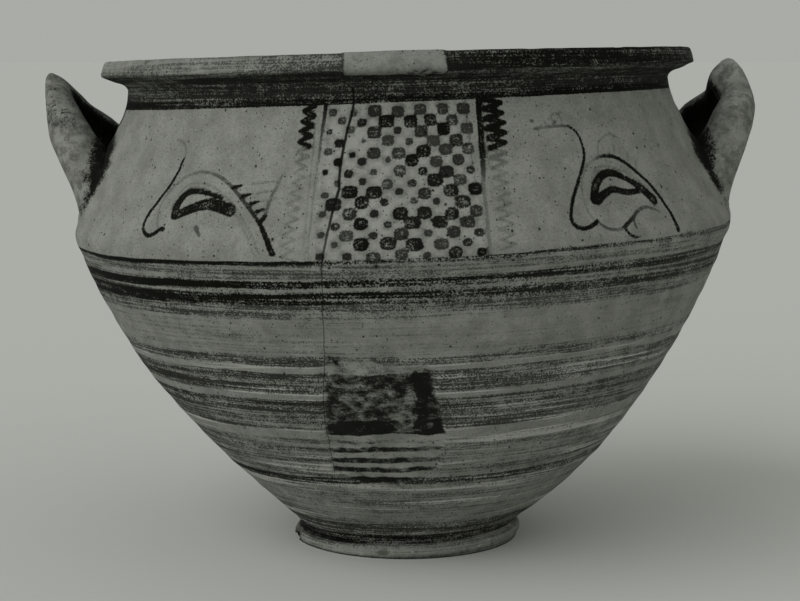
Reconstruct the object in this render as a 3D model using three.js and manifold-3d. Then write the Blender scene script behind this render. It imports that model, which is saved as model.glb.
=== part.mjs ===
// A two-handled clay mixing jar: wheel-thrown body on a low ring foot, flat everted rim,
// and two round loop handles luted to the shoulder, all fired as one piece.
// Units are millimetres, +Z is up, and the painted front faces -Y.
import * as THREE from "three";
import { mergeVertices } from "three/addons/utils/BufferGeometryUtils.js";
import Module from "manifold-3d";

// Driving dimensions, measured along the jar's own axis.
const HEIGHT = 264; // table to the top of the rim
const RIM_RADIUS = 159.5; // outermost edge of the lip
const NECK_RADIUS = 145.5; // narrowest part under the rim
const BELLY_RADIUS = 176.8; // widest part, at the turn of the shoulder
const FOOT_RADIUS = 63; // outer edge of the ring foot where it stands
const WALL = 7; // thickness of the thrown wall
const FLOOR = 10; // thickness of the clay over the foot
const RING_WIDTH = 13; // breadth of the ring that the foot stands on
const RECESS = 3; // depth of the hollow inside the ring
const BELOW_TABLE = -4; // how far the foot is drawn past the table before it is cut off level
const ABOVE_RIM = 6; // how far the hollow is drawn past the rim
const FLOOR_TURN = 26; // height where the wall's inside bends into the floor

// Heights of the turns in the profile.
const FOOT_HEIGHT = 7.5; // the notch between foot and body
const BELLY_HEIGHT = 174; // the widest ring
const SHOULDER_TOP = 232; // the straight shoulder ends and the neck curve begins
const NECK_HEIGHT = 247.5; // the narrowest ring
const LIP_HEIGHT = 256.2; // lower corner of the lip

// The body leans a little on its foot, and its sections drift off the axis, as hand-thrown clay does.
const LEAN_LEFT = THREE.MathUtils.degToRad(1.5);
const LEAN_BACK = THREE.MathUtils.degToRad(0.6);
const AXIS_DRIFT = [
  [0, 0],
  [26, 4.8],
  [58, 5.2],
  [100, 2.7],
  [HEIGHT, 1.8],
].map(([z, x]) => new THREE.Vector2(z, x));

const AROUND = 64; // facets round the body
const CLAY = new THREE.MeshStandardMaterial({
  color: 0x7b7e78,
  roughness: 0.85,
  metalness: 0,
});

// Handle sizes, in each handle's own frame: out from the jar's axis, across the loop, and up.
const ARM_RADIUS = 11; // the rolled clay the arms are bent from
const CROWN_RADIUS = 8.5; // the thinner crown of the loop
const ROOT_SPLAY = 0.45; // how much wider the clay is smeared where it meets the body
const CROWN_PINCH = 0.4; // how far the crown is drawn out to a point
const CROWN_NARROWING = 0.32; // how much thinner the crown is pinched across
const CROWN_SPAN = 0.11; // share of the loop that the pinch reaches to each side
const LOOP_STEPS = 22; // sections along the loop
const LOOP_SIDES = 12; // facets round the roll
const RIGHT_HANDLE = {
  azimuth: 5,
  root: [152, 43, 185],
  arm: [164, 45, 204],
  elbow: [173, 40, 221],
  bend: [182, 20, 233.5],
  crown: [178.5, 0, 247],
};
const LEFT_HANDLE = {
  azimuth: 178,
  root: [149, 43, 186],
  arm: [160, 45, 204],
  elbow: [169.5, 40, 221],
  bend: [178.5, 21, 234],
  crown: [184.5, 0, 248.5],
};

const wasm = await Module();
wasm.setup();

// A closed geometry as a solid that can be joined and cut.
function solidOf(geometry) {
  const bare = geometry.clone();
  bare.deleteAttribute("normal");
  bare.deleteAttribute("uv");
  const merged = mergeVertices(bare, 1e-3);
  return new wasm.Manifold(
    new wasm.Mesh({
      numProp: 3,
      vertProperties: merged.attributes.position.array,
      triVerts: new Uint32Array(merged.index.array),
    }),
  );
}

// A solid back as a geometry for a mesh.
function geometryOf(solid) {
  const { vertProperties, triVerts } = solid.getMesh();
  const geometry = new THREE.BufferGeometry();
  geometry.setAttribute("position", new THREE.BufferAttribute(vertProperties, 3));
  geometry.setIndex(new THREE.BufferAttribute(triVerts, 1));
  geometry.computeVertexNormals();
  return geometry;
}

// How far the section at a height stands to the right of the foot's centre.
const driftCurve = new THREE.SplineCurve(AXIS_DRIFT);
function driftAt(z) {
  const spans = AXIS_DRIFT.length - 1;
  const i = Math.max(0, AXIS_DRIFT.findLastIndex((p, k) => k < spans && p.x <= z));
  const share = (z - AXIS_DRIFT[i].x) / (AXIS_DRIFT[i + 1].x - AXIS_DRIFT[i].x);
  return driftCurve.getPoint((i + THREE.MathUtils.clamp(share, 0, 1)) / spans).y;
}

// Moves every point of an upright geometry to where it stands on the leaning jar.
function settled(geometry) {
  const position = geometry.attributes.position;
  for (let i = 0; i < position.count; i++) {
    const y = position.getY(i);
    const up = position.getZ(i);
    const out = position.getX(i) + driftAt(up);
    const z = up * Math.cos(LEAN_LEFT) + out * Math.sin(LEAN_LEFT);
    position.setXYZ(
      i,
      out - up * Math.sin(LEAN_LEFT),
      y + z * Math.sin(LEAN_BACK),
      z * Math.cos(LEAN_BACK) - y * Math.sin(LEAN_BACK),
    );
  }
  return geometry;
}

// A solid of revolution about Z from (radius, height) points that start and end on the axis.
function turned(profile) {
  return solidOf(settled(new THREE.LatheGeometry(profile, AROUND).rotateX(Math.PI / 2)));
}

const at = (r, z) => new THREE.Vector2(r, z);

// The outside, from the underside's centre up to the rim's top.
function outerProfile() {
  const path = new THREE.Path();
  path.moveTo(0, BELOW_TABLE);
  path.lineTo(FOOT_RADIUS - 2.5, BELOW_TABLE);
  path.lineTo(FOOT_RADIUS - 1.5, 0);
  path.quadraticCurveTo(FOOT_RADIUS + 1.6, FOOT_HEIGHT * 0.55, FOOT_RADIUS - 4.4, FOOT_HEIGHT);
  path.splineThru([at(66, 15), at(85.5, 32), at(112.5, 60), at(142.6, 100), at(164.6, 140), at(174.4, 164)]);
  path.quadraticCurveTo(BELLY_RADIUS + 2, BELLY_HEIGHT - 1, BELLY_RADIUS - 2.2, BELLY_HEIGHT + 5);
  path.lineTo(NECK_RADIUS + 4.7, SHOULDER_TOP);
  path.quadraticCurveTo(NECK_RADIUS, SHOULDER_TOP + 9, NECK_RADIUS, NECK_HEIGHT);
  path.quadraticCurveTo(NECK_RADIUS, NECK_HEIGHT + 3.6, NECK_RADIUS + 6, NECK_HEIGHT + 5);
  path.lineTo(RIM_RADIUS - 1.2, LIP_HEIGHT - 0.8);
  path.quadraticCurveTo(RIM_RADIUS + 0.6, LIP_HEIGHT, RIM_RADIUS - 0.4, LIP_HEIGHT + 1.8);
  path.lineTo(RIM_RADIUS - 2, HEIGHT - 1);
  path.lineTo(RIM_RADIUS - 3.2, HEIGHT);
  path.lineTo(0, HEIGHT);
  return path.getPoints(3);
}

// The hollow: the outside moved inward by the wall, with a round floor below and an open mouth above.
function cavityProfile(outside) {
  const floor = FOOT_HEIGHT + FLOOR;
  const mouth = NECK_RADIUS - WALL;
  const inside = outside
    .map((p, i) => {
      const before = outside[Math.max(i - 1, 0)];
      const after = outside[Math.min(i + 1, outside.length - 1)];
      const along = after.clone().sub(before).normalize();
      return { from: p, to: at(p.x - along.y * WALL, p.y + along.x * WALL) };
    })
    .filter(({ from }) => from.x > 0 && from.y > FLOOR_TURN && from.y < NECK_HEIGHT - 4)
    .map(({ to }) => to);
  const start = inside[0];
  const bowl = new THREE.QuadraticBezierCurve(at(start.x * 0.45, floor), at(start.x * 0.85, floor), start);
  return [
    at(0, floor),
    ...bowl.getPoints(3).slice(0, -1),
    ...inside.filter((p, i) => i % 2 === 0 || p.y > BELLY_HEIGHT - 12),
    at(mouth, NECK_HEIGHT),
    at(mouth, HEIGHT - 3),
    at(mouth + 2.5, HEIGHT),
    at(mouth + 2.5, HEIGHT + ABOVE_RIM),
    at(0, HEIGHT + ABOVE_RIM),
  ];
}

// A round roll of clay bent into a loop, its crown pinched up to a blunt point.
function handle({ azimuth, root, arm, elbow, bend, crown }) {
  const half = [root, arm, elbow, bend];
  const mirrored = half.map(([out, across, up]) => [out, -across, up]).reverse();
  const points = [...half, crown, ...mirrored].map((p) => new THREE.Vector3(...p));
  const loop = new THREE.CatmullRomCurve3(points, false, "centripetal");
  const middle = new THREE.Vector3(root[0], 0, root[2]);
  const rings = [];
  for (let i = 0; i <= LOOP_STEPS; i++) {
    const share = i / LOOP_STEPS;
    const centre = loop.getPointAt(share);
    const along = loop.getTangentAt(share);
    const outward = centre.clone().sub(middle);
    outward.addScaledVector(along, -outward.dot(along)).normalize();
    const side = new THREE.Vector3().crossVectors(along, outward);
    const nearCrown = Math.exp(-(((share - 0.5) / CROWN_SPAN) ** 2));
    const narrow = 1 - CROWN_NARROWING * nearCrown;
    const toRoot = Math.abs(2 * share - 1);
    const roll = THREE.MathUtils.lerp(CROWN_RADIUS, ARM_RADIUS, Math.min(1, toRoot * 2));
    const radius = roll * (1 + ROOT_SPLAY * toRoot ** 4);
    for (let k = 0; k < LOOP_SIDES; k++) {
      const turn = (k / LOOP_SIDES) * 2 * Math.PI;
      const peak = CROWN_PINCH * nearCrown * Math.max(0, Math.cos(turn)) ** 4;
      rings.push(
        centre
          .clone()
          .addScaledVector(outward, radius * (Math.cos(turn) + peak))
          .addScaledVector(side, radius * narrow * Math.sin(turn)),
      );
    }
  }
  const index = [];
  for (let i = 0; i < LOOP_STEPS; i++) {
    for (let k = 0; k < LOOP_SIDES; k++) {
      const next = (k + 1) % LOOP_SIDES;
      const here = i * LOOP_SIDES;
      const there = here + LOOP_SIDES;
      index.push(here + k, here + next, there + next, here + k, there + next, there + k);
    }
  }
  for (let k = 1; k < LOOP_SIDES - 1; k++) {
    const last = LOOP_STEPS * LOOP_SIDES;
    index.push(0, k + 1, k, last, last + k, last + k + 1);
  }
  const geometry = new THREE.BufferGeometry().setFromPoints(rings);
  geometry.setIndex(index);
  return solidOf(settled(geometry.rotateZ(THREE.MathUtils.degToRad(azimuth))));
}

// What the level table cuts away: everything below it, and the hollow inside the ring foot.
function underside() {
  const table = new THREE.BoxGeometry(400, 400, 40).translate(0, 0, -20);
  const edge = FOOT_RADIUS - RING_WIDTH;
  const recess = new THREE.LatheGeometry(
    [at(0, -5), at(edge, -5), at(edge, RECESS / 2), at(edge - 4, RECESS), at(0, RECESS)],
    AROUND,
  ).rotateX(Math.PI / 2);
  return solidOf(table).add(solidOf(recess));
}

// The old break where a piece of the ring foot is gone, at the left.
function footBreak() {
  const bite = new THREE.DodecahedronGeometry(9, 0);
  bite.scale(1, 1.5, 0.7).rotateZ(0.5).translate(-66, -14, 0.5);
  return solidOf(bite);
}

const outside = outerProfile();
const solid = turned(outside)
  .add(handle(RIGHT_HANDLE))
  .add(handle(LEFT_HANDLE))
  .subtract(turned(cavityProfile(outside)))
  .subtract(underside())
  .subtract(footBreak());

// The origin is on the table, under the middle of the whole jar.
const shape = geometryOf(solid);
shape.computeBoundingBox();
const middle = shape.boundingBox.getCenter(new THREE.Vector3());
shape.translate(-middle.x, -middle.y, 0);

const jar = new THREE.Mesh(shape, CLAY);
jar.name = "jar";

const group = new THREE.Group();
group.name = "two_handled_jar";
group.add(jar);
export default group;
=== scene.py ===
"""A painted two-handled clay jar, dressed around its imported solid.

Lengths are worked out in millimetres on the jar as it was thrown, upright about its own axis.
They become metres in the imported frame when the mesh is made. Angles round the jar are counted
from the painted front, which faces -Y, towards +X.
"""

import logging
import math
from collections.abc import Sequence
from dataclasses import dataclass, field
from enum import Enum
from itertools import product

import bpy
import numpy as np
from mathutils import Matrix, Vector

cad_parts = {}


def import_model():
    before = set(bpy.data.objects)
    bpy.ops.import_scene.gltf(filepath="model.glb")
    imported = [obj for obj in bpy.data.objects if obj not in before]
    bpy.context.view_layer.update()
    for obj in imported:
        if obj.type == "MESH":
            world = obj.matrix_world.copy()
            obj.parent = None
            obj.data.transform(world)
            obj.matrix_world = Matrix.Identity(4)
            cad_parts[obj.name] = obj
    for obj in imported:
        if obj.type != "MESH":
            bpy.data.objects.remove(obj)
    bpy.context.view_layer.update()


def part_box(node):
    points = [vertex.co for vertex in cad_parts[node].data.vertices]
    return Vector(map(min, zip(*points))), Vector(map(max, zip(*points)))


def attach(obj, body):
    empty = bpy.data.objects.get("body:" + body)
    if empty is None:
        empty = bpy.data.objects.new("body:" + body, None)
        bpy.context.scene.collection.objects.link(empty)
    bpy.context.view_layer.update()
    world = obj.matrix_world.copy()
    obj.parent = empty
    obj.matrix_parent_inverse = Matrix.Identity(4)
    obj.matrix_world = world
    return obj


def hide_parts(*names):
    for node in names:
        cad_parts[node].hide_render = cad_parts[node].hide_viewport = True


LOG = logging.getLogger("jar")
METRES = 0.001
FAR = 99.0
TINY = 1e-6
NODE = "jar"
BODY = "root"

Line = Sequence[tuple[float, float]]
Place = tuple[float, float, float]
Colour = tuple[float, float, float, float]
Faces = list[tuple[int, ...]]
Skin = tuple[np.ndarray, Faces]
Socket = bpy.types.NodeSocket


def spline_through(knots: np.ndarray, shares: np.ndarray) -> np.ndarray:
    """Points of a smooth curve through knots.

    Args:
        knots: Points that the curve passes through, one a row.
        shares: Places along the curve, from 0 at the first knot to 1 at the last.

    Returns:
        One point a row, for each share.
    """
    spans = len(knots) - 1
    place = np.clip(shares, 0, 1) * spans
    i = np.minimum(place.astype(int), spans - 1)
    w = (place - i)[:, None]
    before, start = knots[np.maximum(i - 1, 0)], knots[i]
    end, after = knots[i + 1], knots[np.minimum(i + 2, spans)]
    leave, arrive = (end - before) / 2, (after - start) / 2
    cubic = 2 * start - 2 * end + leave + arrive
    square = -3 * start + 3 * end - 2 * leave - arrive
    return cubic * w**3 + square * w**2 + leave * w + start


def bow(corners: Line, steps: int = 12) -> np.ndarray:
    """A quadratic curve from its first point to its third, drawn towards the second.

    Args:
        corners: Its start, what draws it, and its end.
        steps: Number of straight steps.

    Returns:
        Its points, one a row.
    """
    t = np.linspace(0, 1, steps + 1)[:, None]
    a, b, c = (np.array(p, float) for p in corners)
    return (1 - t) ** 2 * a + 2 * t * (1 - t) * b + t**2 * c


def spaced(line: np.ndarray, step: float) -> np.ndarray:
    """A line's points again, evenly spaced along its length.

    Args:
        line: Points, one a row.
        step: Distance wanted between points.

    Returns:
        The evenly spaced points, with the line's own ends.
    """
    along = np.r_[0, np.cumsum(np.linalg.norm(np.diff(line, axis=0), axis=1))]
    count = max(2, round(along[-1] / step) + 1)
    places = np.linspace(0, along[-1], count)
    return np.stack([np.interp(places, along, axis) for axis in line.T], axis=1)


def smooth_step(low: float, high: float, values: np.ndarray) -> np.ndarray:
    """Values eased from 0 at low to 1 at high."""
    t = np.clip((values - low) / (high - low), 0, 1)
    return t * t * (3 - 2 * t)


def unit(rows: np.ndarray) -> np.ndarray:
    """Directions of length 1, one a row."""
    return rows / np.maximum(np.linalg.norm(rows, axis=1), TINY)[:, None]


def to_segment(places: np.ndarray, a: np.ndarray, b: np.ndarray) -> tuple[np.ndarray, np.ndarray]:
    """How far places are from the straight line a to b, and the share of it where each is nearest.

    Args:
        places: Places, one a row.
        a: The line's start.
        b: Its end.

    Returns:
        The distances, and the shares from 0 at a to 1 at b.
    """
    along = b - a
    share = np.clip((places - a) @ along / max(along @ along, TINY), 0, 1)
    return np.linalg.norm(places - a - share[:, None] * along, axis=1), share


def linked(name: str, data: bpy.types.ID) -> bpy.types.Object:
    """A new object in the scene.

    Args:
        name: Its name.
        data: Its mesh, light or camera.

    Returns:
        The object.
    """
    made = bpy.data.objects.new(name, data)
    bpy.context.scene.collection.objects.link(made)
    return made


class ClayNoise:
    """Smooth seeded noise on a lattice, for the unevenness of clay worked by hand."""

    SIDE = 64

    def __init__(self, seed: int) -> None:
        """Draws the lattice from a seed."""
        self.table = np.random.default_rng(seed).random((self.SIDE,) * 3)

    def at(self, points: np.ndarray, pitch: float) -> np.ndarray:
        """Noise from -1 to 1 at points.

        Args:
            points: Places in millimetres, one a row.
            pitch: Size of the lumps in millimetres.

        Returns:
            One value a point.
        """
        scaled = points / pitch
        base = np.floor(scaled).astype(int)
        w = scaled - base
        w = w * w * (3 - 2 * w)
        total = np.zeros(len(points))
        for corner in product((0, 1), repeat=3):
            share = np.prod(np.where(corner, w, 1 - w), axis=1)
            x, y, z = ((base + corner) % self.SIDE).T
            total += share * self.table[x, y, z]
        return 2 * total - 1


class Density(Enum):
    """How many of the finest columns a row of the mesh keeps: each one, or each second."""

    FINE = 1
    HALF = 2


class Ink(Enum):
    """How much of the dark paint is left of a stroke."""

    BLACK = 1.0
    WORN = 0.72
    FADED = 0.52
    GHOST = 0.42


@dataclass(frozen=True)
class Settling:
    """How the thrown jar leans on its foot and how its sections drift off the axis."""

    lean_left: float = math.radians(1.5)
    lean_back: float = math.radians(0.6)
    heights: tuple[float, ...] = (0, 26, 58, 100, 264)
    drifts: tuple[float, ...] = (0, 4.8, 5.2, 2.7, 1.8)

    def drift(self, up: np.ndarray) -> np.ndarray:
        """How far the sections at some heights stand to the right of the foot's centre.

        Args:
            up: The heights.

        Returns:
            Millimetres to the right, one a height.
        """
        heights = np.array(self.heights)
        spans = len(heights) - 1
        i = np.clip(np.searchsorted(heights, up, side="right") - 1, 0, spans - 1)
        share = np.clip((up - heights[i]) / (heights[i + 1] - heights[i]), 0, 1)
        return spline_through(np.array(self.drifts)[:, None], (i + share) / spans)[:, 0]

    def settle(self, points: np.ndarray) -> np.ndarray:
        """Where points of the upright jar stand on the leaning one.

        Args:
            points: Points of the upright jar, one a row.

        Returns:
            The same points on the leaning jar, about the foot's centre on the table.
        """
        out = points[:, 0] + self.drift(points[:, 2])
        up = points[:, 2]
        z = up * math.cos(self.lean_left) + out * math.sin(self.lean_left)
        return np.stack(
            [
                out - up * math.sin(self.lean_left),
                points[:, 1] + z * math.sin(self.lean_back),
                z * math.cos(self.lean_back) - points[:, 1] * math.sin(self.lean_back),
            ],
            axis=1,
        )


@dataclass(frozen=True)
class JarProfile:
    """The jar's section, as radius and height along its axis."""

    height: float = 264
    rim_radius: float = 159.5
    neck_radius: float = 145.5
    belly_radius: float = 176.8
    foot_radius: float = 63
    wall: float = 7
    floor: float = 10
    foot_height: float = 7.5
    belly_height: float = 174
    shoulder_top: float = 232
    neck_height: float = 247.5
    lip_height: float = 256.2
    below: float = 4
    recess: float = 3
    ring_width: float = 13
    notch_depth: float = 4.4

    def foot(self) -> np.ndarray:
        """The ring foot's outer face, drawn past the table, up to the notch under the body.

        Returns:
            Radius and height, one point a row.
        """
        edge = self.foot_radius - 1.5
        notch = (self.foot_radius - self.notch_depth, self.foot_height)
        face = bow([(edge, 0), (self.foot_radius + 1.6, self.foot_height * 0.55), notch])
        return np.vstack([[(edge - 1, -self.below)], face])

    def bowl(self) -> np.ndarray:
        """The wall from the notch above the foot to the widest ring and round it.

        Returns:
            Radius and height, one point a row.
        """
        knots = np.array(
            [
                (self.foot_radius - self.notch_depth, self.foot_height),
                (66, 15),
                (85.5, 32),
                (112.5, 60),
                (142.6, 100),
                (164.6, 140),
                (174.4, 164),
            ]
        )
        rise = spline_through(knots, np.linspace(0, 1, 120))
        turn = [
            knots[-1],
            (self.belly_radius + 2, self.belly_height - 1),
            self.shoulder_start(),
        ]
        return np.vstack([rise, bow(turn)[1:]])

    def shoulder_start(self) -> tuple[float, float]:
        """Where the rounded widest ring ends and the straight shoulder begins."""
        return self.belly_radius - 2.2, self.belly_height + 5

    def shoulder(self) -> np.ndarray:
        """The straight shoulder and the neck up to its narrowest ring.

        Returns:
            Radius and height, one point a row.
        """
        top = (self.neck_radius + 4.7, self.shoulder_top)
        neck = [top, (self.neck_radius, self.shoulder_top + 9), (self.neck_radius, self.neck_height)]
        return np.vstack([[self.shoulder_start()], bow(neck)])

    def rim(self) -> np.ndarray:
        """The flaring underside of the rim, its lip and the outer edge of its top.

        Returns:
            Radius and height, one point a row.
        """
        r, z = self.neck_radius, self.neck_height
        flare = bow([(r, z), (r, z + 3.6), (r + 6, z + 5)])
        edge, low = self.rim_radius, self.lip_height
        lip = bow([(edge - 1.2, low - 0.8), (edge + 0.6, low), (edge - 0.4, low + 1.8)], 6)
        top = bow([(edge - 1.9, self.height - 1.6), (edge - 2.2, self.height), (edge - 3.8, self.height)], 5)
        return np.vstack([flare, lip, top])

    def outside(self) -> np.ndarray:
        """The whole outer line from the table to the rim's top."""
        return np.vstack([self.foot(), self.bowl()[1:], self.shoulder()[1:], self.rim()[1:]])

    def inside(self) -> np.ndarray:
        """The inner line, from the rim's top down the wall to the middle of the floor.

        Returns:
            Radius and height, one point a row.
        """
        wall = np.vstack([self.bowl(), self.shoulder()[1:]])
        wall = wall[(wall[:, 1] > 26) & (wall[:, 1] < self.neck_height - 4)]
        along = unit(np.gradient(wall, axis=0))
        inner = wall + self.wall * np.stack([-along[:, 1], along[:, 0]], axis=1)
        mouth = self.neck_radius - self.wall
        edge = bow([(mouth + 3.4, self.height), (mouth + 0.3, self.height), (mouth, self.height - 3.5)], 5)
        level = self.foot_height + self.floor
        start = inner[0]
        bottom = bow([start, (start[0] * 0.85, level), (start[0] * 0.45, level)], 8)
        return np.vstack([edge, [(mouth, self.neck_height)], inner[::-1], bottom[1:]])

    def radius_at(self, heights: np.ndarray) -> np.ndarray:
        """Outer radius of the wall between the foot and the rim's flare."""
        wall = np.vstack([self.bowl(), self.shoulder()[1:]])
        return np.interp(heights, wall[:, 1], wall[:, 0])

    def slope_at(self, heights: np.ndarray) -> np.ndarray:
        """How fast the outer radius grows with height."""
        return self.radius_at(heights + 0.5) - self.radius_at(heights - 0.5)


@dataclass(frozen=True)
class LoopHandle:
    """A round roll of clay bent into a loop, its crown pinched up to a blunt point.

    Its places are out from the jar's axis, across the loop, and up.
    """

    azimuth: float
    root: Place
    arm: Place
    elbow: Place
    bend: Place
    crown: Place
    arm_radius: float = 11
    crown_radius: float = 8.5
    splay: float = 0.45
    pinch: float = 0.4
    narrowing: float = 0.32
    steps: int = 56
    sides: int = 22

    def line(self) -> np.ndarray:
        """The middle of the roll, evenly spaced from root to root, in the jar's upright place.

        Returns:
            Its points, one a row.
        """
        half = np.array([self.root, self.arm, self.elbow, self.bend], float)
        other = half[::-1] * (1, -1, 1)
        knots = np.vstack([half, [self.crown], other])
        curve = spaced(spline_through(knots, np.linspace(0, 1, 400)), 0.5)
        length = 0.5 * (len(curve) - 1)
        return self.turned(spaced(curve, length / self.steps))

    def turned(self, points: np.ndarray) -> np.ndarray:
        """Points of the handle's own frame in the jar's upright place.

        Args:
            points: Points of the handle's own frame, one a row.

        Returns:
            The same points on the upright jar.
        """
        turn = math.radians(self.azimuth)
        x = points[:, 0] * math.cos(turn) - points[:, 1] * math.sin(turn)
        y = points[:, 0] * math.sin(turn) + points[:, 1] * math.cos(turn)
        return np.stack([x, y, points[:, 2]], axis=1)

    def radii(self, count: int) -> np.ndarray:
        """The roll's radius at places from root to root.

        Args:
            count: Number of places, evenly spaced.

        Returns:
            One radius a place.
        """
        to_root = np.abs(np.linspace(-1, 1, count))
        plain = self.crown_radius + (self.arm_radius - self.crown_radius) * np.minimum(1, to_root * 2)
        return plain * (1 + self.splay * to_root**4)

    def skin(self) -> Skin:
        """The roll's surface.

        Returns:
            Its points, one a row, and its faces.
        """
        line = self.line()
        count = len(line)
        along = unit(np.gradient(line, axis=0))
        middle = self.turned(np.array([(self.root[0], 0, self.root[2])]))[0]
        outward = line - middle
        outward = unit(outward - along * np.sum(outward * along, axis=1)[:, None])
        side = np.cross(along, outward)
        share = np.linspace(0, 1, count)
        near_crown = np.exp(-(((share - 0.5) / 0.11) ** 2))
        turns = np.linspace(0, 2 * math.pi, self.sides, endpoint=False)
        peak = self.pinch * near_crown[:, None] * np.maximum(0, np.cos(turns)) ** 4
        radius = self.radii(count)[:, None]
        reach = radius * (np.cos(turns) + peak)
        breadth = radius * (1 - self.narrowing * near_crown[:, None]) * np.sin(turns)
        points = line[:, None] + outward[:, None] * reach[..., None] + side[:, None] * breadth[..., None]
        n = self.sides
        faces: Faces = [
            (i * n + k, i * n + (k + 1) % n, (i + 1) * n + (k + 1) % n, (i + 1) * n + k)
            for i in range(count - 1)
            for k in range(n)
        ]
        faces += [tuple(range(n))[::-1], tuple((count - 1) * n + k for k in range(n))]
        return points.reshape(-1, 3), faces

    def distance(self, points: np.ndarray) -> tuple[np.ndarray, np.ndarray]:
        """How far points stand off the roll.

        Args:
            points: Points of the upright jar, one a row.

        Returns:
            The distance of each from the roll's skin, and the direction straight away from it.
        """
        line = self.line()
        radii = self.radii(len(line))
        best = np.full(len(points), np.inf)
        away = np.zeros((len(points), 3))
        for centre, radius in zip(line, radii, strict=True):
            offset = points - centre
            far = np.linalg.norm(offset, axis=1)
            nearer = far - radius < best
            best[nearer] = far[nearer] - radius
            away[nearer] = offset[nearer] / np.maximum(far[nearer], TINY)[:, None]
        return best, away


RIGHT_HANDLE = LoopHandle(
    azimuth=5,
    root=(152, 43, 185),
    arm=(164, 45, 204),
    elbow=(173, 40, 221),
    bend=(182, 20, 233.5),
    crown=(178.5, 0, 247),
)
LEFT_HANDLE = LoopHandle(
    azimuth=178,
    root=(149, 43, 186),
    arm=(160, 45, 204),
    elbow=(169.5, 40, 221),
    bend=(178.5, 21, 234),
    crown=(184.5, 0, 248.5),
)


@dataclass
class Brush:
    """Paints strokes and blots onto the vertices of the figure zone.

    Places are millimetres round the shoulder from the middle of the front, and millimetres of height
    in the painter's slightly tilted level. Each vertex keeps how far it is outside the nearest stroke's
    edge, and how dark that stroke is.
    """

    places: np.ndarray
    edge: np.ndarray = field(init=False)
    depth: np.ndarray = field(init=False)

    def __post_init__(self) -> None:
        """Starts with nothing painted."""
        self.edge = np.full(len(self.places), FAR)
        self.depth = np.zeros(len(self.places))

    def lay(self, distance: np.ndarray, ink: np.ndarray | float) -> None:
        """Lays down one touch of paint.

        Args:
            distance: Distance of each vertex outside the touch's edge, below 0 inside it.
            ink: Darkness of the touch, for each vertex or for all.
        """
        ink = np.broadcast_to(ink, distance.shape)
        darker = (distance < 0) & (ink > self.depth)
        nearer = (distance < self.edge) & ~((self.edge < 0) & (self.depth > ink))
        take = darker | nearer
        self.edge[take] = np.minimum(distance[take], self.edge[take])
        self.depth[take] = ink[take]

    def stroke(self, line: Line, width: float | tuple[float, float], ink: Ink | tuple[Ink, Ink]) -> None:
        """One drawn line.

        Args:
            line: The places that the brush passes through.
            width: The stroke's width, or its width at the start and at the end.
            ink: Its darkness, or its darkness at the start and at the end.
        """
        first, last = width if isinstance(width, tuple) else (width, width)
        begin, finish = ink if isinstance(ink, tuple) else (ink, ink)
        knots = np.array(line, float)
        count = 2 if len(knots) == 2 else 5 * (len(knots) - 1) + 1
        path = spline_through(knots, np.linspace(0, 1, count))
        reach = max(first, last) / 2 + 4
        low, high = path.min(0) - reach, path.max(0) + reach
        near = np.flatnonzero(np.all((self.places > low) & (self.places < high), axis=1))
        here = self.places[near]
        best = np.full(len(near), FAR)
        share = np.zeros(len(near))
        for i in range(count - 1):
            far, t = to_segment(here, path[i], path[i + 1])
            closer = far < best
            best[closer] = far[closer]
            share[closer] = (i + t[closer]) / (count - 1)
        distance = np.full(len(self.places), FAR)
        distance[near] = best - (first + (last - first) * share) / 2
        darkness = np.zeros(len(self.places))
        darkness[near] = begin.value + (finish.value - begin.value) * share
        self.lay(distance, darkness)

    def blot(self, centre: tuple[float, float], size: tuple[float, float], square: float, ink: float) -> None:
        """One touch of the brush.

        Args:
            centre: Its middle.
            size: Its width and height.
            square: 2 for a round touch, more for a square one.
            ink: Its darkness.
        """
        offset = np.abs(self.places - centre) / (np.array(size) / 2)
        level = np.sum(offset**square, axis=1) ** (1 / square)
        self.lay((level - 1) * min(size) / 2, ink)


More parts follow.
